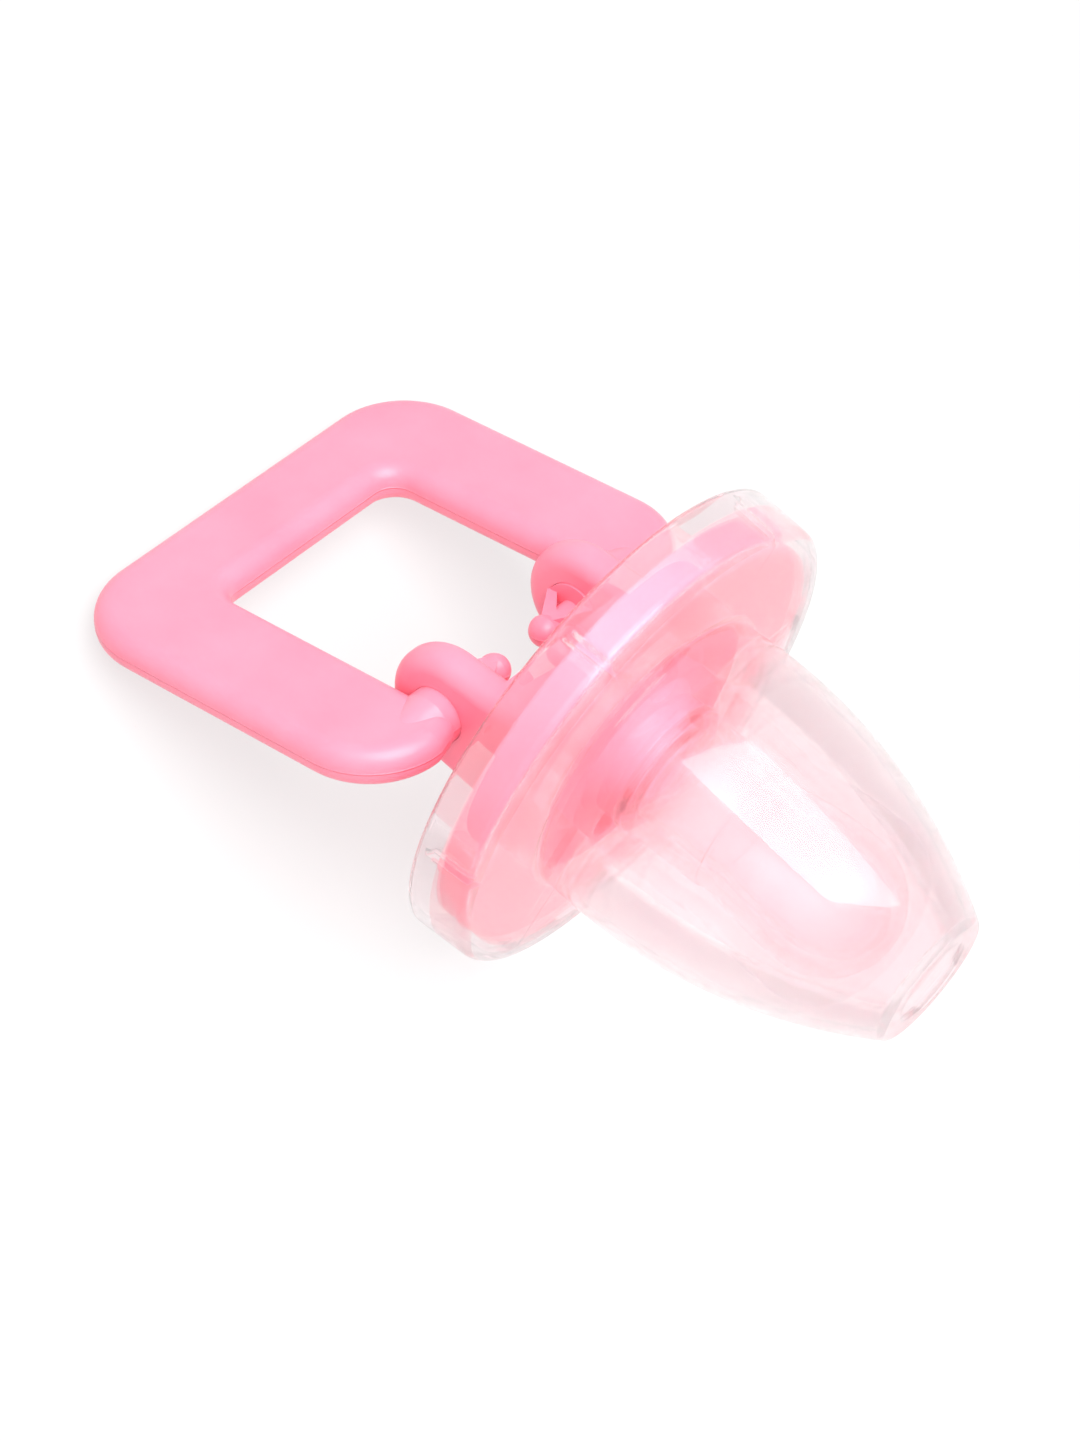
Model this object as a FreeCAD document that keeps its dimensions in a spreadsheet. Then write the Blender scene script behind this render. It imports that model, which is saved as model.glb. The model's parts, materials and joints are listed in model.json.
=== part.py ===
"""A capped pacifier: clear cap, shield, teat, plug with two ears, and a handle that turns in the ears.

Every piece is drawn on the pacifier's own axis. X runs from the open back rim of the cap, at 0, to the
tip of the teat; Y runs along the handle's hinge; Z is square to both. The pacifier is then laid down as it
rests on a table, on the back rim of its cap and the grip of its handle, so that +Z of the part is up.
Millimetres and degrees.
"""
import FreeCAD, Part
import math
import os

import Sketcher

DIMENSIONS = {
    "cap_rim_radius": 28.0,  # outer radius of the open back rim
    "cap_front_radius": 27.6,  # outer radius of the drum at its front
    "drum_depth": 7.2,  # from the open rim to the outer front face of the drum
    "cap_wall": 1.1,
    "cap_corner_round": 1.3,  # outer front corner of the drum
    "cap_root_round": 0.8,  # where the dome stands on the drum's front face
    "cap_rim_round": 0.35,
    "dome_peak_radius": 16.8,  # widest outer radius of the dome
    "dome_peak_station": 13.0,  # where along the axis the dome is widest
    "cap_length": 45.0,  # from the open rim to the flat tip
    "tip_radius": 7.44,  # outer radius of the dome at the flat tip
    "tip_round": 0.8,
    "tip_dish_radius": 4.6,
    "tip_dish_depth": 0.35,
    "rib_count": 6.0,  # short ribs inside the drum that grip the shield's edge
    "rib_width": 1.4,
    "rib_end_gap": 1.2,  # from the open rim to the ribs
    "rib_bury": 0.3,  # how deep a rib is sunk into the drum's wall, so that the two are one
    "cap_grip_clearance": 0.15,  # between a rib and the shield's edge
    "cap_seat_clearance": 0.15,  # between the drum's inner front face and the shield
    "shield_radius": 25.4,
    "shield_wall": 2.0,
    "shield_skirt_depth": 3.9,  # full thickness at the shield's edge
    "shield_skirt_wall": 1.7,
    "shield_edge_round": 1.1,
    "vent_radius": 2.6,
    "vent_offset": 12.2,  # from the axis to the middle of a vent hole
    "vent_count": 2.0,
    "collar_foot_radius": 8.4,
    "collar_foot_height": 1.2,
    "collar_height": 3.5,  # from the shield's front face to the end of the collar
    "collar_wall": 0.95,
    "hub_radius": 5.4,  # the plug's round hub, inside the teat's neck
    "hub_reach": 0.8,  # how far the hub stands out past the collar
    "hub_dish_radius": 3.6,
    "hub_dish_depth": 0.5,
    "hub_round": 0.4,
    "fit_clearance": 0.03,  # between teat, hub and collar
    "teat_neck_wall": 1.0,
    "teat_flange_radius": 8.8,
    "teat_flange_thickness": 1.2,
    "teat_bead_radius": 7.75,
    "teat_bead_width": 1.1,
    "teat_bead_round": 0.2,
    "teat_base_radius": 7.5,
    "teat_waist_radius": 7.0,
    "teat_waist_station": 20.2,
    "teat_waist_width": 1.8,
    "teat_step": 0.25,
    "teat_bulb_radius": 8.0,
    "teat_bulb_station": 31.5,  # where along the axis the bulb is widest
    "teat_wall": 1.2,
    "plug_plate_radius": 9.8,
    "plug_plate_thickness": 2.0,
    "block_depth": 6.2,  # from the plug's plate back to the floor between the ears
    "ear_radius": 6.7,
    "ear_root_half_height": 7.5,
    "ear_thickness": 4.6,
    "ear_spacing": 17.2,  # between the two inner faces
    "ear_round": 2.0,
    "hinge_setback": 10.1,  # from the open rim of the cap back to the hinge
    "pin_radius": 3.2,
    "pin_clearance": 0.05,
    "arm_side_clearance": 0.45,  # between an arm of the handle and an ear
    "handle_angle": 16.35,  # how far the handle is turned down from the axis
    "handle_width": 53.5,
    "handle_reach": 40.3,  # from the hinge to the outer edge of the grip
    "handle_front": 4.3,  # from the hinge to the front edge of the arms
    "handle_thickness": 4.6,
    "arm_front_round": 2.0,
    "grip_width": 11.0,
    "handle_corner_radius": 9.3,
    "handle_inner_corner_radius": 2.7,
    "handle_edge_round": 2.1,
    "pin_root_radius": 1.9,  # where the pin runs out in the arm
    "pin_root_length": 5.0,
    "pin_bulge_length": 1.2,
    "snap_clearance": 0.25,  # between the snap's barbs and an ear
    "snap_shank_radius": 1.3,
    "snap_head_radius": 1.8,
    "snap_length": 6.0,
    "barb_spread": 3.1,
    "barb_thickness": 1.25,
    "barb_depth": 3.2,
    "barb_overlap": 0.9,  # how far the barbs' point lies inside the snap's round head
}

SAME_PLACE = 1e-3  # two edges closer than this are the same edge

document = FreeCAD.newDocument("Pacifier")
sheet = document.addObject("Spreadsheet::Sheet", "Sizes")
for row, (alias, number) in enumerate(DIMENSIONS.items(), start=1):
    sheet.set(f"A{row}", alias)
    sheet.set(f"B{row}", str(number))
    sheet.setAlias(f"B{row}", alias)
document.recompute()


class Size:
    """A length with both its number and the sheet expression that gives it."""

    def __init__(self, number, text):
        self.number = number
        self.text = text

    def __add__(self, other):
        other = as_size(other)
        return Size(self.number + other.number, f"({self.text} + {other.text})")

    def __sub__(self, other):
        other = as_size(other)
        return Size(self.number - other.number, f"({self.text} - {other.text})")

    def __mul__(self, other):
        other = as_size(other)
        return Size(self.number * other.number, f"({self.text} * {other.text})")

    def __truediv__(self, other):
        other = as_size(other)
        return Size(self.number / other.number, f"({self.text} / {other.text})")

    def __neg__(self):
        return Size(-self.number, f"(0 - {self.text})")


def as_size(value):
    return value if isinstance(value, Size) else Size(float(value), repr(float(value)))


def size(alias):
    """The size that a sheet cell holds."""
    return Size(float(sheet.get(alias)), f"{sheet.Name}.{alias}")


def root(value):
    return Size(math.sqrt(value.number), f"sqrt({value.text})")


def arc_height(station, peak_station, peak_height, radius):
    """Height at a station of an arc that peaks at peak_station and peak_height."""
    run = station - peak_station
    return peak_height - radius + root(radius * radius - run * run)


ZERO = as_size(0)


class Outline:
    """A closed sketch outline whose corners and arcs are all bound to the sheet."""

    def __init__(self, sketch):
        self.sketch = sketch
        self.segments = []

    def bind(self, kind, *arguments, value):
        """Adds one driving constraint and ties it to its expression."""
        index = self.sketch.addConstraint(Sketcher.Constraint(kind, *arguments, value.number))
        self.sketch.setExpression(f"Constraints[{index}]", value.text)

    def close(self, corners, arcs=None):
        """Draws corners in order; arcs gives, by a segment's number, (centre, radius, turns left)."""
        arcs = arcs or {}
        for index, corner in enumerate(corners):
            after = corners[(index + 1) % len(corners)]
            start = FreeCAD.Vector(corner[0].number, corner[1].number, 0)
            end = FreeCAD.Vector(after[0].number, after[1].number, 0)
            if index in arcs:
                geometry = self.arc(start, end, *arcs[index])
            else:
                geometry = Part.LineSegment(start, end)
            self.segments.append(self.sketch.addGeometry(geometry, False))
        count = len(corners)
        for index in range(count):
            this, after = self.segments[index], self.segments[(index + 1) % count]
            first, last = self.ends(index, arcs)
            start_after, _ = self.ends((index + 1) % count, arcs)
            self.sketch.addConstraint(Sketcher.Constraint("Coincident", this, last, after, start_after))
            self.bind("DistanceX", -1, 1, this, first, value=corners[index][0])
            self.bind("DistanceY", -1, 1, this, first, value=corners[index][1])
            if index in arcs:
                self.hold_centre(this, corners[index], corners[(index + 1) % count], arcs[index][0])

    def hold_centre(self, segment, start, end, centre):
        """Fixes an arc's centre across its chord, the one way that its two ends leave it free."""
        if abs(end[1].number - start[1].number) >= abs(end[0].number - start[0].number):
            self.bind("DistanceX", -1, 1, segment, 3, value=centre[0])
        else:
            self.bind("DistanceY", -1, 1, segment, 3, value=centre[1])

    def ends(self, index, arcs):
        """Sketch numbers of a segment's first and last point: a right-turning arc is stored reversed."""
        reversed_arc = index in arcs and not arcs[index][2]
        return (2, 1) if reversed_arc else (1, 2)

    def arc(self, start, end, centre, radius, turns_left):
        middle = FreeCAD.Vector(centre[0].number, centre[1].number, 0)
        circle = Part.Circle(middle, FreeCAD.Vector(0, 0, 1), radius.number)
        begin, finish = (start, end) if turns_left else (end, start)
        first = math.atan2(begin.y - middle.y, begin.x - middle.x)
        last = math.atan2(finish.y - middle.y, finish.x - middle.x)
        while last <= first:
            last += 2 * math.pi
        return Part.ArcOfCircle(circle, first, last)

    def circle(self, centre_x, centre_y, radius):
        middle = FreeCAD.Vector(centre_x.number, centre_y.number, 0)
        disc = Part.Circle(middle, FreeCAD.Vector(0, 0, 1), radius.number)
        index = self.sketch.addGeometry(disc, False)
        self.bind("DistanceX", -1, 1, index, 3, value=centre_x)
        self.bind("DistanceY", -1, 1, index, 3, value=centre_y)
        self.bind("Radius", index, value=radius)


def origin_part(body, role):
    return next(feature for feature in body.Origin.OriginFeatures if feature.Role == role)


def new_body(label):
    body = document.addObject("PartDesign::Body", label)
    body.Label = label
    return body


def new_sketch(body, name, plane):
    sketch = body.newObject("Sketcher::SketchObject", name)
    sketch.AttachmentSupport = [(origin_part(body, plane), "")]
    sketch.MapMode = "FlatFace"
    return sketch


def turn(body, name, sketch, axis, cut=False):
    """Turns a sketch fully about one of the body's own axes."""
    feature = body.newObject("PartDesign::Groove" if cut else "PartDesign::Revolution", name)
    feature.Profile = sketch
    feature.ReferenceAxis = (origin_part(body, axis), [""])
    feature.Angle = 360.0
    sketch.Visibility = False
    document.recompute()
    return feature


def pad(body, name, sketch, length, centred=False, reverse=False):
    feature = body.newObject("PartDesign::Pad", name)
    feature.Profile = sketch
    feature.setExpression("Length", length.text)
    feature.Midplane = centred
    feature.Reversed = reverse
    sketch.Visibility = False
    document.recompute()
    return feature


def cut_through(body, name, sketch):
    """Cuts a sketch through the whole body, both ways, and checks that it took something away."""
    before = body.Shape.Volume
    feature = body.newObject("PartDesign::Pocket", name)
    feature.Profile = sketch
    feature.Type = 1
    feature.Midplane = True
    sketch.Visibility = False
    document.recompute()
    if not body.Shape.Volume < before:
        raise ValueError(f"{name} cuts nothing")
    return feature


def rounded(body, name, radius, wanted):
    """Rounds every edge of the body that wanted(edge) picks."""
    base = body.Tip
    names = [f"Edge{number}" for number, edge in enumerate(base.Shape.Edges, start=1) if wanted(edge)]
    if not names:
        raise ValueError(f"{name} finds no edge")
    feature = body.newObject("PartDesign::Fillet", name)
    feature.Base = (base, names)
    feature.setExpression("Radius", radius.text)
    document.recompute()
    return feature


def hoop(station, radius):
    """Picks the circular edges about X at one station and radius."""

    def wanted(edge):
        if edge.Degenerated or not isinstance(edge.Curve, Part.Circle):
            return False
        centre = edge.Curve.Center
        off_axis = math.hypot(centre.y, centre.z)
        off_station = abs(centre.x - station.number)
        off_radius = abs(edge.Curve.Radius - radius.number)
        return max(off_axis, off_station, off_radius) < SAME_PLACE

    return wanted


def ear_sides(side, front):
    """Picks the edges of the two ears' faces at one distance from the middle, as far forward as front."""

    def wanted(edge):
        extent = edge.BoundBox
        flat = extent.YLength < SAME_PLACE
        on_face = abs(abs(edge.CenterOfMass.y) - side.number) < SAME_PLACE
        runs_back = extent.XLength > SAME_PLACE
        return flat and on_face and runs_back and extent.XMin < front.number - SAME_PLACE

    return wanted


def upright(station, height):
    """Picks the straight upright edges at one station of the handle."""

    def wanted(edge):
        tall = edge.BoundBox.ZLength > height.number - SAME_PLACE
        return tall and abs(edge.CenterOfMass.x - station.number) < SAME_PLACE

    return wanted


def level(edge):
    """True for the edges that lie in the handle's upper or lower face."""
    return edge.BoundBox.ZLength < SAME_PLACE


cap_wall = size("cap_wall")
drum_depth = size("drum_depth")
cap_length = size("cap_length")
rim_radius = size("cap_rim_radius")
front_radius = size("cap_front_radius")
dome_station = size("dome_peak_station")
dome_radius = size("dome_peak_radius")
dome_run = cap_length - dome_station
dome_fall = dome_radius - size("tip_radius")
dome_arc = (dome_run * dome_run + dome_fall * dome_fall) / (dome_fall * 2)
seat_station = drum_depth - cap_wall
shield_front = seat_station - size("cap_seat_clearance")
shield_back = shield_front - size("shield_wall")
hinge_station = -size("hinge_setback")
ear_inner = size("ear_spacing") / 2
ear_outer = ear_inner + size("ear_thickness")


def clear_cap():
    """The drum and dome in one turned shell, open at the back, with grip ribs inside the drum."""
    body = new_body("clear_cap")
    dome_base = arc_height(drum_depth, dome_station, dome_radius, dome_arc)
    dome_base_inside = arc_height(seat_station, dome_station, dome_radius - cap_wall, dome_arc - cap_wall)
    tip_radius = arc_height(cap_length, dome_station, dome_radius, dome_arc)
    tip_inside = cap_length - cap_wall
    tip_radius_inside = arc_height(tip_inside, dome_station, dome_radius - cap_wall, dome_arc - cap_wall)
    dish_radius = size("tip_dish_radius")
    dish_station = cap_length - size("tip_dish_depth")
    centre = (dome_station, dome_radius - dome_arc)
    profile = Outline(new_sketch(body, "CapProfile", "XY_Plane"))
    profile.close(
        [
            (ZERO, rim_radius),
            (ZERO, rim_radius - cap_wall),
            (seat_station, front_radius - cap_wall),
            (seat_station, dome_base_inside),
            (tip_inside, tip_radius_inside),
            (tip_inside, ZERO),
            (dish_station, ZERO),
            (dish_station, dish_radius),
            (cap_length, dish_radius),
            (cap_length, tip_radius),
            (drum_depth, dome_base),
            (drum_depth, front_radius),
        ],
        {3: (centre, dome_arc - cap_wall, False), 9: (centre, dome_arc, True)},
    )
    turn(body, "CapShell", profile.sketch, "X_Axis")

    rib_top = front_radius - cap_wall + size("rib_bury")
    rib_foot = size("shield_radius") + size("cap_grip_clearance")
    rib_front = seat_station + size("rib_bury")
    section = Outline(new_sketch(body, "RibOutline", "XY_Plane"))
    section.close(
        [
            (size("rib_end_gap"), rib_foot),
            (rib_front, rib_foot),
            (rib_front, rib_top),
            (size("rib_end_gap"), rib_top),
        ]
    )
    rib = pad(body, "Rib", section.sketch, size("rib_width"), centred=True)
    ribs = body.newObject("PartDesign::PolarPattern", "Ribs")
    ribs.Originals = [rib]
    ribs.Axis = (origin_part(body, "X_Axis"), [""])
    ribs.Angle = 360.0
    ribs.setExpression("Occurrences", size("rib_count").text)
    body.Tip = ribs
    document.recompute()

    rounded(body, "DrumCorner", size("cap_corner_round"), hoop(drum_depth, front_radius))
    rounded(body, "DomeRoot", size("cap_root_round"), hoop(drum_depth, dome_base))
    rounded(body, "TipCorner", size("tip_round"), hoop(cap_length, tip_radius))
    rounded(body, "RimEdge", size("cap_rim_round"), hoop(ZERO, rim_radius))
    return body


def shield():
    """The round guard: a dished disc with a skirt, two vent holes and a collar for the teat's neck."""
    body = new_body("shield")
    bore = size("hub_radius") + size("teat_neck_wall") + size("fit_clearance") * 2
    collar = bore + size("collar_wall")
    edge = size("shield_radius")
    skirt_back = shield_front - size("shield_skirt_depth")
    foot_station = shield_front + size("collar_foot_height")
    collar_front = shield_front + size("collar_height")
    foot = size("collar_foot_radius")
    profile = Outline(new_sketch(body, "ShieldProfile", "XY_Plane"))
    profile.close(
        [
            (shield_back, bore),
            (shield_back, edge - size("shield_skirt_wall")),
            (skirt_back, edge - size("shield_skirt_wall")),
            (skirt_back, edge),
            (shield_front, edge),
            (shield_front, foot),
            (foot_station, collar),
            (collar_front, collar),
            (collar_front, bore),
        ]
    )
    turn(body, "ShieldDisc", profile.sketch, "X_Axis")
    vent = Outline(new_sketch(body, "VentOutline", "YZ_Plane"))
    vent.circle(ZERO, size("vent_offset"), size("vent_radius"))
    hole = cut_through(body, "Vent", vent.sketch)
    vents = body.newObject("PartDesign::PolarPattern", "Vents")
    vents.Originals = [hole]
    vents.Axis = (origin_part(body, "X_Axis"), [""])
    vents.Angle = 360.0
    vents.setExpression("Occurrences", size("vent_count").text)
    body.Tip = vents
    document.recompute()
    rounded(body, "ShieldEdge", size("shield_edge_round"), hoop(shield_front, edge))
    return body


def teat():
    """The hollow silicone teat: flange behind the shield, neck, bead, waist and round bulb."""
    body = new_body("teat")
    wall = size("teat_wall")
    inside = size("hub_radius") + size("fit_clearance")
    neck = inside + size("teat_neck_wall")
    flange_back = shield_back - size("teat_flange_thickness")
    bead_back = shield_front + size("collar_height")
    bead_front = bead_back + size("teat_bead_width")
    hub_front = bead_back + size("hub_reach") + size("fit_clearance")
    base = size("teat_base_radius")
    waist = size("teat_waist_radius")
    waist_start = size("teat_waist_station")
    waist_end = waist_start + size("teat_waist_width")
    bulb = size("teat_bulb_radius")
    bulb_station = size("teat_bulb_station")
    step = size("teat_step")
    run = bulb_station - waist_end
    rise = bulb - waist
    long_arc = (run * run + rise * rise) / (rise * 2)
    inner_waist_end = arc_height(waist_end, bulb_station, bulb - wall, long_arc - wall)
    profile = Outline(new_sketch(body, "TeatProfile", "XY_Plane"))
    profile.close(
        [
            (flange_back, inside),
            (flange_back, size("teat_flange_radius")),
            (shield_back, size("teat_flange_radius")),
            (shield_back, neck),
            (bead_back, neck),
            (bead_back, size("teat_bead_radius")),
            (bead_front, size("teat_bead_radius")),
            (bead_front, base),
            (waist_start, waist + step),
            (waist_start, waist),
            (waist_end, waist),
            (bulb_station, bulb),
            (bulb_station + bulb, ZERO),
            (bulb_station + bulb - wall, ZERO),
            (bulb_station, bulb - wall),
            (waist_end, inner_waist_end),
            (waist_start, inner_waist_end),
            (hub_front + wall, base - wall),
            (hub_front, inside),
        ],
        {
            10: ((bulb_station, bulb - long_arc), long_arc, False),
            11: ((bulb_station, ZERO), bulb, False),
            13: ((bulb_station, ZERO), bulb - wall, True),
            14: ((bulb_station, bulb - long_arc), long_arc - wall, True),
        },
    )
    turn(body, "TeatShell", profile.sketch, "X_Axis")
    rounded(body, "BeadFront", size("teat_bead_round"), hoop(bead_front, size("teat_bead_radius")))
    rounded(body, "BeadBack", size("teat_bead_round"), hoop(bead_back, size("teat_bead_radius")))
    return body


def plug():
    """The plug that locks the teat: hub, plate, and a block with two ears for the handle's pins."""
    body = new_body("plug")
    flange_back = shield_back - size("teat_flange_thickness")
    plate_back = flange_back - size("plug_plate_thickness")
    floor = plate_back - size("block_depth")
    hub_front = shield_front + size("collar_height") + size("hub_reach")
    hub = size("hub_radius")
    plate = size("plug_plate_radius")
    dish = size("hub_dish_radius")
    dish_floor = hub_front - size("hub_dish_depth")
    profile = Outline(new_sketch(body, "HubProfile", "XY_Plane"))
    profile.close(
        [
            (plate_back, ZERO),
            (plate_back, plate),
            (flange_back, plate),
            (flange_back, hub),
            (hub_front, hub),
            (hub_front, dish),
            (dish_floor, dish),
            (dish_floor, ZERO),
        ]
    )
    turn(body, "Hub", profile.sketch, "X_Axis")

    ear = size("ear_radius")
    foot = size("ear_root_half_height")
    overlap = plate_back + size("plug_plate_thickness") / 2
    side = Outline(new_sketch(body, "EarOutline", "XZ_Plane"))
    side.close(
        [(hinge_station, -ear), (overlap, -foot), (overlap, foot), (hinge_station, ear)],
        {3: ((hinge_station, ZERO), ear, True)},
    )
    pad(body, "EarBlank", side.sketch, ear_outer * 2, centred=True)
    rounded(body, "EarSides", size("ear_round"), ear_sides(ear_outer, overlap))

    gap = Outline(new_sketch(body, "GapOutline", "XY_Plane"))
    behind = hinge_station - ear * 2
    gap.close([(behind, -ear_inner), (floor, -ear_inner), (floor, ear_inner), (behind, ear_inner)])
    cut_through(body, "EarGap", gap.sketch)
    rounded(body, "EarInnerSides", size("ear_round"), ear_sides(ear_inner, floor))

    hole = Outline(new_sketch(body, "PinHoleOutline", "XZ_Plane"))
    hole.circle(hinge_station, ZERO, size("pin_radius") + size("pin_clearance"))
    cut_through(body, "PinHoles", hole.sketch)
    rounded(body, "HubEdge", size("hub_round"), hoop(hub_front, hub))
    return body


def handle():
    """The ring handle, drawn about its hinge: two arms, a grip bar, and a snap pin on each arm."""
    body = new_body("handle")
    half = size("handle_width") / 2
    arm_inner = ear_outer + size("arm_side_clearance")
    front = size("handle_front")
    end = -size("handle_reach")
    grip_inner = end + size("grip_width")
    corner = size("handle_corner_radius")
    inner_corner = size("handle_inner_corner_radius")
    near = [
        (front, half - corner),
        (front - corner, half),
        (end + corner, half),
        (end, half - corner),
    ]
    far = [(x, -y) for x, y in reversed(near)]
    arm_end = size("pin_radius")
    corners = near + far + [
        (arm_end, -arm_inner),
        (grip_inner + inner_corner, -arm_inner),
        (grip_inner, -arm_inner + inner_corner),
        (grip_inner, arm_inner - inner_corner),
        (grip_inner + inner_corner, arm_inner),
        (arm_end, arm_inner),
    ]
    arcs = {
        0: ((front - corner, half - corner), corner, True),
        2: ((end + corner, half - corner), corner, True),
        4: ((end + corner, corner - half), corner, True),
        6: ((front - corner, corner - half), corner, True),
        9: ((grip_inner + inner_corner, inner_corner - arm_inner), inner_corner, False),
        11: ((grip_inner + inner_corner, arm_inner - inner_corner), inner_corner, False),
    }
    ring = Outline(new_sketch(body, "HandleOutline", "XY_Plane"))
    ring.close(corners, arcs)
    thickness = size("handle_thickness")
    pad(body, "HandleRing", ring.sketch, thickness, centred=True)
    rounded(body, "ArmFront", size("arm_front_round"), upright(arm_end, thickness))
    rounded(body, "HandleEdge", size("handle_edge_round"), level)

    pin = size("pin_radius")
    shank = size("snap_shank_radius")
    head = size("snap_head_radius")
    snap_base = ear_inner - size("snap_clearance")
    snap_tip = snap_base - size("snap_length")
    bulge_end = arm_inner + size("pin_bulge_length")
    root_end = bulge_end + size("pin_root_length")
    shape = Outline(new_sketch(body, "PinProfile", "XY_Plane"))
    shape.close(
        [
            (ZERO, snap_tip),
            (head, snap_tip + head),
            (shank, snap_tip + head * 2),
            (shank, snap_base),
            (pin, snap_base),
            (pin, bulge_end),
            (size("pin_root_radius"), root_end),
            (ZERO, root_end),
        ],
        {0: ((ZERO, snap_tip + head), head, True)},
    )
    pins = turn(body, "Pin", shape.sketch, "Y_Axis")

    spread = size("barb_spread")
    thick = size("barb_thickness")
    fork = Outline(new_sketch(body, "BarbOutline", "XY_Plane"))
    fork.close(
        [
            (ZERO, snap_tip + head - size("barb_overlap")),
            (spread, snap_base),
            (spread - thick, snap_base),
            (ZERO, snap_tip + head * 2),
            (thick - spread, snap_base),
            (-spread, snap_base),
        ]
    )
    barbs = pad(body, "Barbs", fork.sketch, size("barb_depth"), centred=True)
    both = body.newObject("PartDesign::Mirrored", "SecondPin")
    both.Originals = [pins, barbs]
    both.MirrorPlane = (origin_part(body, "XZ_Plane"), [""])
    body.Tip = both
    document.recompute()
    return body


def lay_down(fixed, handle_body):
    """Turns the pacifier about Y until cap rim and grip both touch the table, and centres it there.

    The rim's round edge and the grip's round edge are two circles seen from the side, and the table is
    the line that touches both from below.
    """
    angle = math.radians(size("handle_angle").number)
    rim = size("cap_rim_round").number
    edge = size("handle_edge_round").number
    reach = size("handle_reach").number - edge
    lower = size("handle_thickness").number / 2 - edge
    rim_z = rim - rim_radius.number
    grip_x = hinge_station.number - reach * math.cos(angle) + lower * math.sin(angle)
    grip_z = -reach * math.sin(angle) - lower * math.cos(angle)
    run = rim - grip_x
    rise = grip_z - rim_z
    tilt = math.atan2(rise, run) - math.asin((edge - rim) / math.hypot(run, rise))
    lean = FreeCAD.Rotation(FreeCAD.Vector(0, 1, 0), -math.degrees(tilt))
    fold = FreeCAD.Placement(
        FreeCAD.Vector(hinge_station.number, 0, 0),
        FreeCAD.Rotation(FreeCAD.Vector(0, 1, 0), -math.degrees(angle)),
    )
    at_origin = FreeCAD.Placement(FreeCAD.Vector(), lean)
    for body in fixed:
        body.Placement = at_origin
    handle_body.Placement = at_origin * fold
    document.recompute()
    box = FreeCAD.BoundBox()
    for body in fixed + [handle_body]:
        box.add(body.Shape.optimalBoundingBox(False, False))
    stand = FreeCAD.Placement(FreeCAD.Vector(-box.Center.x, 0, -box.ZMin), FreeCAD.Rotation())
    for body in fixed + [handle_body]:
        body.Placement = stand * body.Placement
    document.recompute()
    return tilt


fixed_bodies = [clear_cap(), shield(), teat(), plug()]
moving_handle = handle()
tilt_angle = lay_down(fixed_bodies, moving_handle)
bodies = fixed_bodies + [moving_handle]

for item in document.Objects:
    if "Invalid" in item.State or "Error" in item.State:
        raise ValueError(f"{item.Label}: {item.State}")
for body in bodies:
    if body.Shape.isNull() or not body.Shape.isValid():
        raise ValueError(f"{body.Label} has no valid shape")

os.makedirs("parts", exist_ok=True)
for body in bodies:
    body.Shape.exportStep(f"parts/{body.Label}.step")
    extent = body.Shape.optimalBoundingBox(False, False)
    print(body.Label, "solids", len(body.Shape.Solids), "volume", round(body.Shape.Volume, 1))
    print("  from", round(extent.XMin, 3), round(extent.YMin, 3), round(extent.ZMin, 3))
    print("  to", round(extent.XMax, 3), round(extent.YMax, 3), round(extent.ZMax, 3))
print("tilt", round(math.degrees(tilt_angle), 3))
print("hinge", moving_handle.Placement.Base)
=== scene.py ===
"""The looks of a capped pacifier: clear cap, silicone teat, pink shield, eared plug and square ring handle.

Shapes are worked out in the pacifier's own frame, in millimetres: x runs from the open rim of the cap
towards the tip, y along the handle's hinge, z square to both. place() turns them into the part's frame.
"""
import json
import math

import bmesh
import bpy
import numpy as np
from mathutils import Matrix, Vector


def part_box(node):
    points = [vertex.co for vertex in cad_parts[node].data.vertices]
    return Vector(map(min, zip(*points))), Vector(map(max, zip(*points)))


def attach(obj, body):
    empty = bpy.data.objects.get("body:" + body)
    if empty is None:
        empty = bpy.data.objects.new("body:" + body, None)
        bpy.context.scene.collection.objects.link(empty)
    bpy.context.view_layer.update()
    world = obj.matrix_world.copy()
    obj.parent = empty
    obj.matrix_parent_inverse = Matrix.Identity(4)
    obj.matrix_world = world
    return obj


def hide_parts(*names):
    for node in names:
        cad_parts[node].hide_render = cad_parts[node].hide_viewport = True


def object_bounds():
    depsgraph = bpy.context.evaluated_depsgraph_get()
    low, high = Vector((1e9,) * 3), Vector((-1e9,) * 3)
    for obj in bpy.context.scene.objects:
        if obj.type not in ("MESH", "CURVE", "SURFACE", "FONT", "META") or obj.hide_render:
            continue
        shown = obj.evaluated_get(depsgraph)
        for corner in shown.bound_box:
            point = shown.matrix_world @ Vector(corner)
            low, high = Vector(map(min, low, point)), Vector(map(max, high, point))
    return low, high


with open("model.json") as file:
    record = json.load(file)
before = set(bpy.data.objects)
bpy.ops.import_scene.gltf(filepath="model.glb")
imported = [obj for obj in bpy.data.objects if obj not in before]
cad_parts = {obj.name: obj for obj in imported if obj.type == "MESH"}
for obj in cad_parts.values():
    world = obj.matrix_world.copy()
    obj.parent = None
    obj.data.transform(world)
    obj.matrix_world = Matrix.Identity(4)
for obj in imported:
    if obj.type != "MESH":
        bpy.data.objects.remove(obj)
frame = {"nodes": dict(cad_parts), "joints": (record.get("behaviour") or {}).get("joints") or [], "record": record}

cad_low, cad_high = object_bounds()

MM = 0.001
TURN = 2 * math.pi
TINY = 1e-9  # keeps a length of nothing out of a division
SAME_POINT = 1e-5  # millimetres: nearer than this, the next point of a profile is left out
MERGE_DISTANCE = 2e-7  # metres: nearer than this, points of a mesh are merged


def unit(vector):
    """The same direction at length 1."""
    vector = np.asarray(vector, float)
    return vector / np.linalg.norm(vector)


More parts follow.
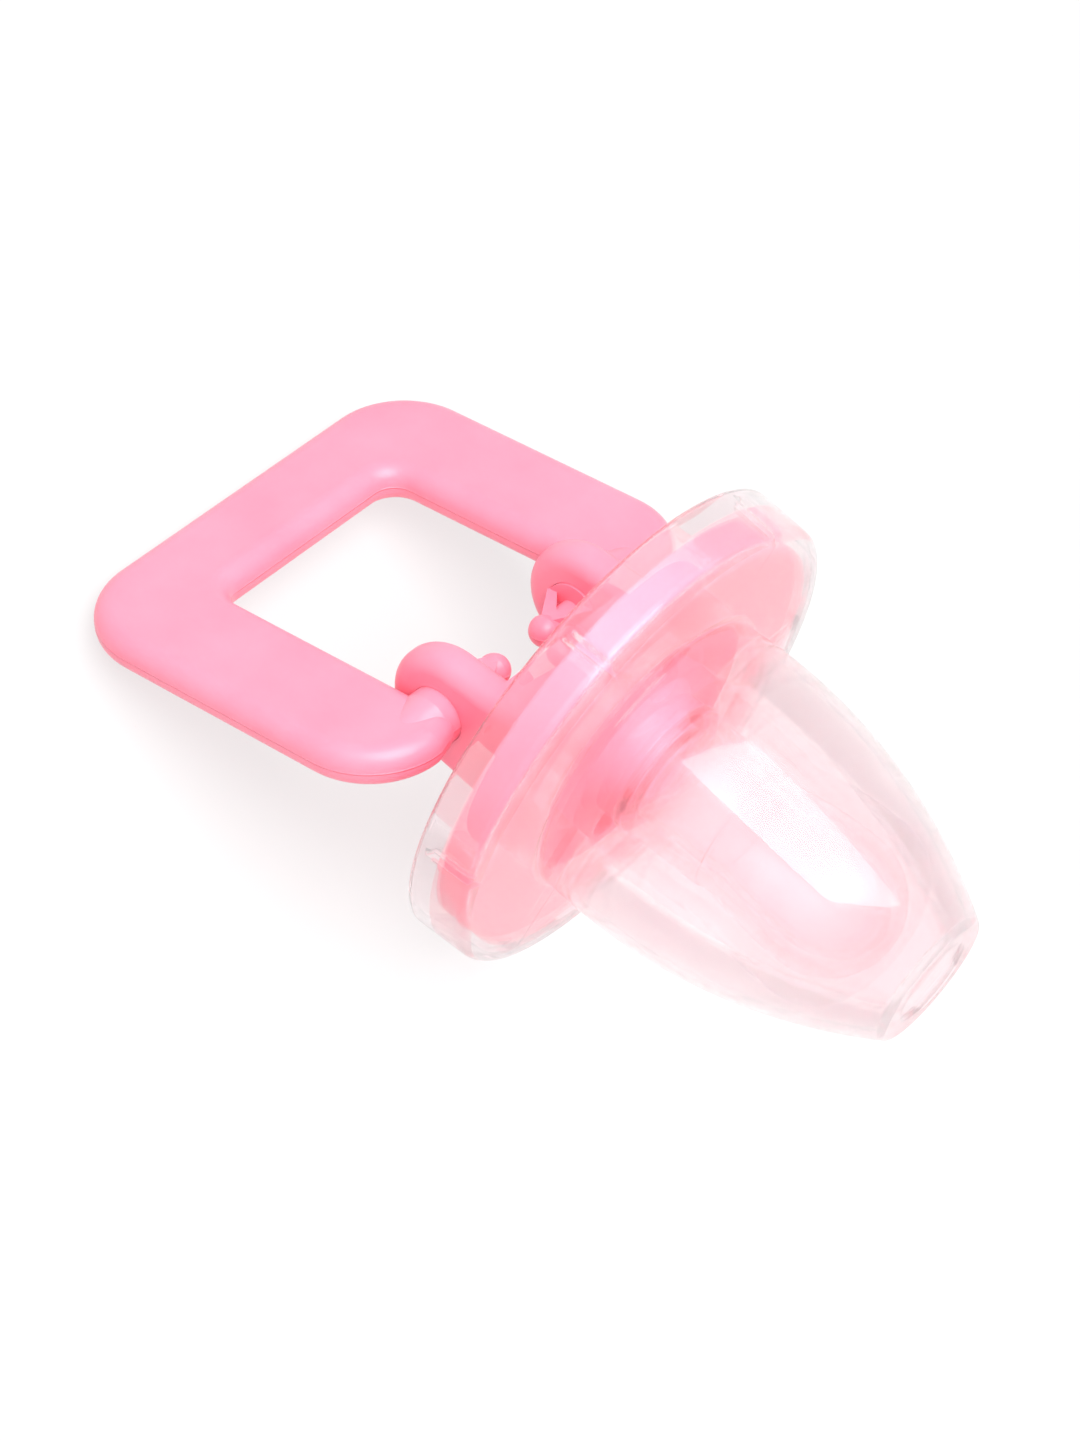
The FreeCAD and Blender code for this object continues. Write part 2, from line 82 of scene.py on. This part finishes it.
joints = {joint["name"]: joint for joint in frame["joints"]}
mounts = {mount["name"]: mount for mount in frame["record"]["mounts"]}
SIDEWAYS = np.array([0.0, 1.0, 0.0])

AXIS = unit(joints["cap_slide"]["axis"])
AXIS_UP = np.cross(AXIS, SIDEWAYS)
RIM_MIDDLE = np.array(mounts["rim_face"]["pos_m"]) * (1, 0, 1)
HINGE = np.array(joints["handle_hinge"]["pos_m"])
HANDLE_UP = unit(mounts["grip_loop"]["axis"])


def half_width(node):
    """Half of a node's size along the hinge, in millimetres."""
    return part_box(node)[1].y / MM


def place(points):
    """Point (x, y, z) goes to the rim's middle + x along the axis + y sideways + z up from the axis."""
    x, y, z = np.moveaxis(np.asarray(points) * MM, -1, 0)
    return RIM_MIDDLE + x[..., None] * AXIS + y[..., None] * SIDEWAYS + z[..., None] * AXIS_UP


# ---------------------------------------------------------------- sizes, in millimetres

CAP_LENGTH = float((np.array(mounts["tip_face"]["pos_m"]) - RIM_MIDDLE) @ AXIS) / MM
CAP_RIM_RADIUS = half_width("clear_cap")
CAP_DRAFT = 0.38  # how much narrower the drum is at its front than at its rim
CAP_FRONT_RADIUS = CAP_RIM_RADIUS - CAP_DRAFT
CAP_WALL = 1.1
DRUM_DEPTH = 7.2
SEAT = DRUM_DEPTH - CAP_WALL
DOME_STATION = 13.0
DOME_RADIUS = 16.8
DOME_ARC = 59.4
TIP_DISH_RADIUS = 4.6
TIP_DISH_DEPTH = 0.35
TIP_DISH_FLARE = 0.25
DISH_FOOT_ROUND = 0.25
DISH_LIP_ROUND = 0.15
DOME_END_ROUND = 0.8
SHOULDER_ROUND = 1.3
RIM_ROUND = 0.35
INSIDE_ROUND = 0.5
# station and radius at the two ends of the drum's inner wall, short of its rounds
DRUM_LINING_START = (0.6, CAP_RIM_RADIUS - CAP_WALL - 0.03)
DRUM_LINING_END = (SEAT - 1.2, CAP_FRONT_RADIUS - CAP_WALL + 0.07)
# what still counts as the drum's inner wall and as its seat, past their own places
LINING_SLACK = 0.1
SEAT_SLACK = 0.01

RIB_COUNT = 6
RIB_LEAD_START = 0.8
RIB_LEAD = 0.6  # length over which a rib rises to its full height
RIB_FLAT = 0.14  # half the breadth of a rib's flat foot
RIB_FLANK = 0.7  # breadth over which a rib falls back to the wall on each side
RIB_REACH_DEGREES = 2.4  # how far from a rib's middle the cap's angles are closer together
RIB_STEPS = 17

SHIELD_RADIUS = half_width("shield")
SHIELD_CLEARANCE = 0.15
SHIELD_WALL = 2.0
COLLAR_HEIGHT = 3.5
HUB_RISE = 0.83
RIB_FOOT = SHIELD_RADIUS + SHIELD_CLEARANCE
SHIELD_FRONT = SEAT - SHIELD_CLEARANCE
SHIELD_BACK = SHIELD_FRONT - SHIELD_WALL
COLLAR_FRONT = SHIELD_FRONT + COLLAR_HEIGHT
HUB_FRONT = COLLAR_FRONT + HUB_RISE

TEAT_FLANGE_RADIUS = half_width("teat")
TEAT_FLANGE_WALL = 1.2
TEAT_FLANGE_BACK = SHIELD_BACK - TEAT_FLANGE_WALL
TEAT_NECK_INSIDE = 5.43
TEAT_NECK_OUTSIDE = 6.43
TEAT_BEAD_RADIUS = 7.75
TEAT_BEAD_LENGTH = 1.1
TEAT_BEAD_FRONT = COLLAR_FRONT + TEAT_BEAD_LENGTH
TEAT_BASE_RADIUS = 7.5
TEAT_WAIST_RADIUS = 7.0
TEAT_WAIST_START = 20.2
TEAT_WAIST_END = 22.0
TEAT_STEP = 0.25
TEAT_BULB_RADIUS = 8.0
TEAT_BULB_STATION = 31.5
TEAT_WALL = 1.2
TEAT_STEP_ROUND = 0.12
TEAT_EDGE_ROUND = 0.1
TEAT_BEAD_FOOT_ROUND = 0.06
TEAT_BEAD_ROUND = 0.3
TEAT_BEND_ROUND = 0.3
TEAT_INSIDE_ROUND = 0.5

ARC_POINTS = 26  # along the dome, and along the bulb's quarter circle
SWELL_POINTS = 12
DRUM_POINTS = 14
CAP_STEPS_ROUND = 216
TEAT_STEPS_ROUND = 192


# ---------------------------------------------------------------- surfaces

def soften(corners, rounds, steps=8, guard=0.06):
    """An open profile with its corners rounded.

    At a corner P with unit directions a and b to its neighbours and half the angle between them h, an
    arc of radius r touches both sides at P + a r / tan h and P + b r / tan h, about the centre
    P + (a + b) / |a + b| r / sin h. A point a guard's length before and after each arc keeps the straight
    stretches flat in their shading. A round of 0 leaves the corner as it is.
    """
    corners = np.asarray(corners, float)
    rounds = np.asarray(rounds, float)[:, None]
    before = np.roll(corners, 1, 0) - corners
    after = np.roll(corners, -1, 0) - corners
    before /= np.linalg.norm(before, axis=1, keepdims=True)
    after /= np.linalg.norm(after, axis=1, keepdims=True)
    half = np.arccos(np.clip((before * after).sum(1, keepdims=True), -1, 1)) / 2
    reach = rounds / np.tan(half)
    bisector = before + after
    bisector /= np.maximum(np.linalg.norm(bisector, axis=1, keepdims=True), TINY)
    centre = corners + bisector * rounds / np.sin(half)
    start = corners + before * reach - centre
    end = corners + after * reach - centre
    sweep = np.pi - 2 * half
    share = np.linspace(0, 1, steps)[None, :, None]
    spread = np.maximum(np.sin(sweep), TINY)[:, None]
    from_start = np.sin((1 - share) * sweep[:, None]) * start[:, None]
    to_end = np.sin(share * sweep[:, None]) * end[:, None]
    arc = centre[:, None] + (from_start + to_end) / spread
    lead = corners + before * (reach + guard)
    trail = corners + after * (reach + guard)
    arc = np.concatenate([lead[:, None], arc, trail[:, None]], 1)
    arc = np.where(rounds[:, None] > 0, arc, corners[:, None])
    profile = arc.reshape(-1, 2)
    moved = np.linalg.norm(np.diff(profile, axis=0), axis=1) > SAME_POINT
    return profile[np.concatenate([[True], moved])]


def long_arc(first, last, peak_station, peak_radius, radius, count):
    """Points from station first to last on the arc r = peak - R + sqrt(R^2 - (x - peak station)^2)."""
    x = np.linspace(first, last, count)
    return np.stack([x, peak_radius - radius + np.sqrt(radius**2 - (x - peak_station) ** 2)], 1)


def turned(profile, angles):
    """Surface of revolution: (x, r) goes to (x, r cos a, r sin a) for every angle a."""
    x, r = profile[:, 0, None], profile[:, 1, None]
    return np.stack([x + 0 * angles, r * np.cos(angles), r * np.sin(angles)], -1)


def skin(name, grid, material, body, replaced):
    """A clear closed piece, facing outwards, from a grid of points that closes on itself across.

    Each cell between rows i, i + 1 and columns j, j + 1 is one face, and the last column joins the first.
    Points that coincide, as at a pole, are merged, and all faces are turned over if the volume that they
    enclose comes out negative. It casts no shadow, so lamp light reaches what it covers.
    """
    rows, columns = grid.shape[:2]
    number = np.arange(rows * columns).reshape(rows, columns)
    number = np.concatenate([number, number[:, :1]], 1)
    corners = [number[:-1, :-1], number[1:, :-1], number[1:, 1:], number[:-1, 1:]]
    quads = np.stack(corners, -1).reshape(-1, 4)
    points = grid.reshape(-1, 3)
    a, b, c, d = (points[quads[:, k]] for k in range(4))
    volume = (np.cross(a, b) * c).sum() + (np.cross(a, c) * d).sum()
    if volume < 0:
        quads = quads[:, ::-1]
    mesh = bpy.data.meshes.new(name)
    mesh.from_pydata(points.tolist(), [], quads.tolist())
    work = bmesh.new()
    work.from_mesh(mesh)
    bmesh.ops.remove_doubles(work, verts=work.verts, dist=MERGE_DISTANCE)
    work.to_mesh(mesh)
    work.free()
    mesh.shade_smooth()
    mesh.materials.append(material)
    made = bpy.data.objects.new(name, mesh)
    bpy.context.scene.collection.objects.link(made)
    made.visible_shadow = False
    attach(made, body)
    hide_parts(replaced)


# ---------------------------------------------------------------- materials

def new_material(name):
    """A node material with its shader and the piece's own coordinates."""
    material = bpy.data.materials.new(name)
    material.use_nodes = True
    tree = material.node_tree
    tree.nodes.clear()
    output = tree.nodes.new("ShaderNodeOutputMaterial")
    shader = tree.nodes.new("ShaderNodeBsdfPrincipled")
    tree.links.new(shader.outputs[0], output.inputs["Surface"])
    where = tree.nodes.new("ShaderNodeTexCoord")
    return material, tree, shader, where.outputs["Object"]


def noise(tree, where, size, detail=3.0):
    """Soft noise whose features are about size millimetres across."""
    node = tree.nodes.new("ShaderNodeTexNoise")
    tree.links.new(where, node.inputs["Vector"])
    node.inputs["Scale"].default_value = 1 / (size * MM)
    node.inputs["Detail"].default_value = detail
    return node.outputs["Fac"]


def between(tree, value, low, high):
    """value from 0 to 1 spread over low to high."""
    node = tree.nodes.new("ShaderNodeMapRange")
    tree.links.new(value, node.inputs["Value"])
    node.inputs["To Min"].default_value = low
    node.inputs["To Max"].default_value = high
    return node.outputs["Result"]


def tinted(tree, value, low, high):
    """A colour that goes from low to high as value goes from 0.3 to 0.7."""
    node = tree.nodes.new("ShaderNodeValToRGB")
    tree.links.new(value, node.inputs["Fac"])
    node.color_ramp.elements[0].position = 0.3
    node.color_ramp.elements[1].position = 0.7
    node.color_ramp.elements[0].color = (*low, 1)
    node.color_ramp.elements[1].color = (*high, 1)
    return node.outputs["Color"]


def dented(tree, shader, height, depth):
    """Bump of a height field, depth millimetres deep, over any bump that the shader already has."""
    node = tree.nodes.new("ShaderNodeBump")
    tree.links.new(height, node.inputs["Height"])
    node.inputs["Distance"].default_value = depth * MM
    if shader.inputs["Normal"].is_linked:
        tree.links.new(shader.inputs["Normal"].links[0].from_socket, node.inputs["Normal"])
    tree.links.new(node.outputs["Normal"], shader.inputs["Normal"])


def parting_line(tree, where, point, normal, half_breadth):
    """1 on the plane through point square to normal, falling smoothly to 0 at half_breadth millimetres."""
    offset = tree.nodes.new("ShaderNodeVectorMath")
    offset.operation = "SUBTRACT"
    tree.links.new(where, offset.inputs[0])
    offset.inputs[1].default_value = point
    height = tree.nodes.new("ShaderNodeVectorMath")
    height.operation = "DOT_PRODUCT"
    tree.links.new(offset.outputs["Vector"], height.inputs[0])
    height.inputs[1].default_value = normal
    distance = tree.nodes.new("ShaderNodeMath")
    distance.operation = "ABSOLUTE"
    tree.links.new(height.outputs["Value"], distance.inputs[0])
    ridge = tree.nodes.new("ShaderNodeMapRange")
    ridge.interpolation_type = "SMOOTHSTEP"
    tree.links.new(distance.outputs["Value"], ridge.inputs["Value"])
    ridge.inputs["From Max"].default_value = half_breadth * MM
    ridge.inputs["To Min"].default_value = 1.0
    ridge.inputs["To Max"].default_value = 0.0
    return ridge.outputs["Result"]


PARTING_HALF_BREADTH = 0.16  # millimetres, as is the height
PARTING_HEIGHT = 0.09


def satin_pink(name, depth=1.0, parting=None):
    """Moulded pink plastic: slightly uneven colour, satin skin with fine orange peel, a little glow inside.

    depth below 1 makes a darker copy of the pink, by its green and blue: painted shade for a piece that gets
    more light than the rest. parting is a point and a normal: the plane where the two halves of the mould met
    leaves a fine ridge.
    """
    material, tree, shader, where = new_material(name)
    cloud = noise(tree, where, size=9.0)
    low = tuple(np.array((0.91, 0.225, 0.318)) * (1, depth, depth))
    high = tuple(np.array((0.95, 0.255, 0.352)) * (1, depth, depth))
    tree.links.new(tinted(tree, cloud, low, high), shader.inputs["Base Color"])
    gloss = between(tree, noise(tree, where, size=1.6), low=0.30, high=0.42)
    tree.links.new(gloss, shader.inputs["Roughness"])
    dented(tree, shader, noise(tree, where, size=0.5, detail=2.0), depth=0.006)
    if parting:
        dented(tree, shader, parting_line(tree, where, *parting, PARTING_HALF_BREADTH), PARTING_HEIGHT)
    shader.inputs["IOR"].default_value = 1.49
    shader.inputs["Subsurface Weight"].default_value = 0.25
    shader.inputs["Subsurface Radius"].default_value = (1.0, 0.35, 0.45)
    shader.inputs["Subsurface Scale"].default_value = 1.2 * MM
    return material


def clear_shell(name):
    """Polished clear plastic, a little milky and warm, with faint flow waves.

    Its wall has the same index throughout and no coat, so light that gets in through one face always gets
    out through the other, and no slanting wall turns white. The alpha lets a share of the light straight
    through the thin wall, which keeps the rounded edges pale.
    """
    material, tree, shader, where = new_material(name)
    flow = noise(tree, where, size=7.0, detail=1.0)
    tint = tinted(tree, flow, low=(0.945, 0.775, 0.81), high=(0.965, 0.82, 0.845))
    tree.links.new(tint, shader.inputs["Base Color"])
    gloss = between(tree, noise(tree, where, size=2.5), low=0.015, high=0.05)
    tree.links.new(gloss, shader.inputs["Roughness"])
    dented(tree, shader, flow, depth=0.02)
    shader.inputs["Transmission Weight"].default_value = 0.965
    shader.inputs["IOR"].default_value = 1.38
    shader.inputs["Alpha"].default_value = 0.60
    return material


def clear_silicone(name):
    """Soft clear silicone: a milky, slightly pink body and a dull sheen."""
    material, tree, shader, where = new_material(name)
    cloud = noise(tree, where, size=4.0)
    tint = tinted(tree, cloud, low=(0.95, 0.76, 0.79), high=(0.965, 0.80, 0.82))
    tree.links.new(tint, shader.inputs["Base Color"])
    gloss = between(tree, noise(tree, where, size=1.2), low=0.07, high=0.14)
    tree.links.new(gloss, shader.inputs["Roughness"])
    dented(tree, shader, cloud, depth=0.02)
    shader.inputs["Transmission Weight"].default_value = 0.95
    shader.inputs["IOR"].default_value = 1.32
    shader.inputs["Alpha"].default_value = 0.65
    return material


pink = satin_pink("satin_pink_plastic")
# painted shade: the shield is the same pink moulding as the rest, made darker here to offset the extra light that
# reaches it through the clear cap
shield_painted_shade_pink = satin_pink("satin_pink_shield_painted_shade", depth=0.84)
ring_pink = satin_pink("satin_pink_ring", parting=(HINGE, HANDLE_UP))
clear = clear_shell("clear_polished_plastic")
silicone = clear_silicone("clear_soft_silicone")


# ---------------------------------------------------------------- clear cap

def cap_profile():
    """The cap's section from the middle of its tip out over dome and drum, round the rim, and back inside."""
    dome = long_arc(CAP_LENGTH, DRUM_DEPTH, DOME_STATION, DOME_RADIUS, DOME_ARC, ARC_POINTS)
    inner_tip = CAP_LENGTH - CAP_WALL
    inside = long_arc(SEAT, inner_tip, DOME_STATION, DOME_RADIUS - CAP_WALL, DOME_ARC - CAP_WALL, ARC_POINTS)
    dish = CAP_LENGTH - TIP_DISH_DEPTH
    lining = np.linspace(DRUM_LINING_START, DRUM_LINING_END, DRUM_POINTS)
    corners = np.vstack([
        [(dish, 0.0), (dish, TIP_DISH_RADIUS), (CAP_LENGTH, TIP_DISH_RADIUS + TIP_DISH_FLARE)],
        dome,
        [(DRUM_DEPTH, CAP_FRONT_RADIUS), (0.0, CAP_RIM_RADIUS), (0.0, CAP_RIM_RADIUS - CAP_WALL)],
        lining,
        [(SEAT, CAP_FRONT_RADIUS - CAP_WALL)],
        inside,
        [(inner_tip, 0.0)],
    ])
    rounds = np.concatenate([
        [0.0, DISH_FOOT_ROUND, DISH_LIP_ROUND],
        [DOME_END_ROUND], np.zeros(ARC_POINTS - 2), [DOME_END_ROUND],
        [SHOULDER_ROUND, RIM_ROUND, RIM_ROUND],
        np.zeros(DRUM_POINTS),
        [INSIDE_ROUND],
        [INSIDE_ROUND], np.zeros(ARC_POINTS - 2), [INSIDE_ROUND],
        [0.0],
    ])
    return soften(corners, rounds)


def cap_angles():
    """Angles round the cap, closer together across each rib."""
    rib_middles = np.arange(RIB_COUNT) * TURN / RIB_COUNT
    across = np.radians(np.linspace(-RIB_REACH_DEGREES, RIB_REACH_DEGREES, RIB_STEPS))
    near_ribs = (rib_middles[:, None] + across).ravel() % TURN
    even = np.linspace(0, TURN, CAP_STEPS_ROUND, endpoint=False)
    return np.unique(np.concatenate([even, near_ribs]).round(6))


def smooth_step(value):
    """3 v^2 - 2 v^3 between 0 and 1."""
    value = np.clip(value, 0, 1)
    return value * value * (3 - 2 * value)


def clear_cap():
    """The cap as one turned shell, with ribs inside the drum.

    On the drum's inner wall the radius r becomes
    r + (foot - r) s(1 - (d - flat) / flank) s((x - start) / lead), where d is the distance round the cap
    from the nearest rib's middle, and s is smooth_step.
    """
    angles = cap_angles()
    grid = turned(cap_profile(), angles)
    x = grid[..., 0]
    radius = np.hypot(grid[..., 1], grid[..., 2])
    spacing = TURN / RIB_COUNT
    off_middle = (angles + spacing / 2) % spacing - spacing / 2
    distance = np.abs(off_middle) * RIB_FOOT
    rib = smooth_step(1 - (distance - RIB_FLAT) / RIB_FLANK) * smooth_step((x - RIB_LEAD_START) / RIB_LEAD)
    on_lining = (radius < CAP_RIM_RADIUS - CAP_WALL + LINING_SLACK) & (x <= SEAT + SEAT_SLACK)
    wanted = np.where(on_lining & (radius > RIB_FOOT), radius + (RIB_FOOT - radius) * rib, radius)
    grid[..., 1:] *= (wanted / np.maximum(radius, TINY))[..., None]
    skin("cap_shell", place(grid), clear, "cap", "clear_cap")


# ---------------------------------------------------------------- silicone teat

def teat_profile():
    """The teat's section from its outer tip back over bulb, waist and bead to the flange, and back inside."""
    run = TEAT_BULB_STATION - TEAT_WAIST_END
    rise = TEAT_BULB_RADIUS - TEAT_WAIST_RADIUS
    swell_arc = (run**2 + rise**2) / (2 * rise)
    angle = np.linspace(0, np.pi / 2, ARC_POINTS)[:, None]
    bulb = np.hstack([np.cos(angle), np.sin(angle)])
    middle = np.array([TEAT_BULB_STATION, 0.0])

    outer_bulb = middle + TEAT_BULB_RADIUS * bulb
    inner_bulb = (middle + (TEAT_BULB_RADIUS - TEAT_WALL) * bulb)[::-1]
    swell = long_arc(
        TEAT_BULB_STATION, TEAT_WAIST_END,
        TEAT_BULB_STATION, TEAT_BULB_RADIUS, swell_arc, SWELL_POINTS,
    )[1:]
    inner_swell = long_arc(
        TEAT_WAIST_END, TEAT_BULB_STATION,
        TEAT_BULB_STATION, TEAT_BULB_RADIUS - TEAT_WALL, swell_arc - TEAT_WALL, SWELL_POINTS,
    )[:-1]
    inner_waist = inner_swell[0, 1]
    corners = np.vstack([
        outer_bulb,
        swell,
        [
            (TEAT_WAIST_START, TEAT_WAIST_RADIUS),
            (TEAT_WAIST_START, TEAT_WAIST_RADIUS + TEAT_STEP),
            (TEAT_BEAD_FRONT, TEAT_BASE_RADIUS),
            (TEAT_BEAD_FRONT, TEAT_BEAD_RADIUS),
            (COLLAR_FRONT, TEAT_BEAD_RADIUS),
            (COLLAR_FRONT, TEAT_NECK_OUTSIDE),
            (SHIELD_BACK, TEAT_NECK_OUTSIDE),
            (SHIELD_BACK, TEAT_FLANGE_RADIUS),
            (TEAT_FLANGE_BACK, TEAT_FLANGE_RADIUS),
            (TEAT_FLANGE_BACK, TEAT_NECK_INSIDE),
            (HUB_FRONT, TEAT_NECK_INSIDE),
            (HUB_FRONT + TEAT_WALL, TEAT_BASE_RADIUS - TEAT_WALL),
            (TEAT_WAIST_START, inner_waist),
        ],
        inner_swell,
        inner_bulb,
    ])
    rounds = np.concatenate([
        np.zeros(ARC_POINTS), np.zeros(SWELL_POINTS - 2), [TEAT_STEP_ROUND],
        [TEAT_STEP_ROUND, TEAT_EDGE_ROUND, TEAT_BEAD_FOOT_ROUND, TEAT_BEAD_ROUND, TEAT_BEAD_ROUND],
        np.full(5, TEAT_EDGE_ROUND),
        [TEAT_BEND_ROUND, TEAT_INSIDE_ROUND, TEAT_INSIDE_ROUND],
        np.zeros(SWELL_POINTS - 1), np.zeros(ARC_POINTS),
    ])
    return soften(corners, rounds, steps=7, guard=0.03)


def teat():
    """The teat as one turned shell."""
    angles = np.linspace(0, TURN, TEAT_STEPS_ROUND, endpoint=False)
    skin("teat_skin", place(turned(teat_profile(), angles)), silicone, "core", "teat")


clear_cap()
teat()
# the shield takes the darker copy of the pink, which is painted shade
for node, finish in (("shield", shield_painted_shade_pink), ("plug", pink), ("handle", ring_pink)):
    for slot in frame["nodes"][node].material_slots:
        slot.material = finish


# ---------------------------------------------------------------- floor, light and camera

def floor():
    """A plain white light table, far larger than the pacifier: its own even glow keeps shadows faint."""
    half = 3.0  # metres
    corners = [(-half, -half, 0), (half, -half, 0), (half, half, 0), (-half, half, 0)]
    mesh = bpy.data.meshes.new("tabletop")
    mesh.from_pydata(corners, [], [(0, 1, 2, 3)])
    material, tree, shader, where = new_material("pale_tabletop")
    cloud = noise(tree, where, size=60.0)
    tint = tinted(tree, cloud, low=(0.155, 0.154, 0.154), high=(0.165, 0.164, 0.164))
    tree.links.new(tint, shader.inputs["Base Color"])
    shader.inputs["Roughness"].default_value = 0.7
    shader.inputs["Specular IOR Level"].default_value = 0.1
    shader.inputs["Emission Color"].default_value = (1, 1, 1, 1)
    shader.inputs["Emission Strength"].default_value = 0.72
    mesh.materials.append(material)
    made = bpy.data.objects.new("tabletop", mesh)
    bpy.context.scene.collection.objects.link(made)


LIGHT_AIM = Vector((0, 0, 0.02))


def softbox(name, towards, distance, size, power):
    """A white rectangular area light that faces the pacifier from one side."""
    light = bpy.data.lights.new(name, "AREA")
    light.shape = "RECTANGLE"
    light.size, light.size_y = size
    light.energy = power
    made = bpy.data.objects.new(name, light)
    bpy.context.scene.collection.objects.link(made)
    towards = Vector(towards).normalized()
    made.location = LIGHT_AIM + towards * distance
    made.rotation_euler = towards.to_track_quat("Z", "Y").to_euler()


def daylight(strength):
    """An even white surround."""
    world = bpy.data.worlds.new("white_room")
    bpy.context.scene.world = world
    world.use_nodes = True
    background = world.node_tree.nodes["Background"]
    background.inputs["Color"].default_value = (1, 1, 1, 1)
    background.inputs["Strength"].default_value = strength


CAMERA_ANGLES = (-85.27, 53.689, 45.909)  # azimuth, elevation and roll, in degrees
CAMERA_AIM = Vector((-3.4, -4.4, -3.0))  # from the middle of the model's box, in millimetres
CAMERA_DISTANCE = 0.43029  # metres
CAMERA_LENS = 105.36  # millimetres


def camera():
    """The camera, level at first, then turned about its own line of sight."""
    azimuth, elevation, roll = map(math.radians, CAMERA_ANGLES)
    aim = (cad_low + cad_high) / 2 + CAMERA_AIM * MM
    level_share = math.cos(elevation)
    back = Vector((math.cos(azimuth) * level_share, math.sin(azimuth) * level_share, math.sin(elevation)))
    lens = bpy.data.cameras.new("camera")
    lens.lens = CAMERA_LENS
    lens.sensor_width = 36.0
    lens.clip_start, lens.clip_end = 0.01, 20.0
    made = bpy.data.objects.new("camera", lens)
    bpy.context.scene.collection.objects.link(made)
    level = back.to_track_quat("Z", "Y").to_matrix().to_4x4()
    upright = Matrix.Translation(aim + back * CAMERA_DISTANCE) @ level
    made.matrix_world = upright @ Matrix.Rotation(roll, 4, "Z")
    bpy.context.scene.camera = made


floor()
daylight(strength=0.78)
softbox("overhead_softbox", towards=(-0.02, -0.19, 0.98), distance=0.6, size=(0.5, 0.5), power=5.8)
camera()
bpy.context.scene.view_settings.view_transform = "Standard"
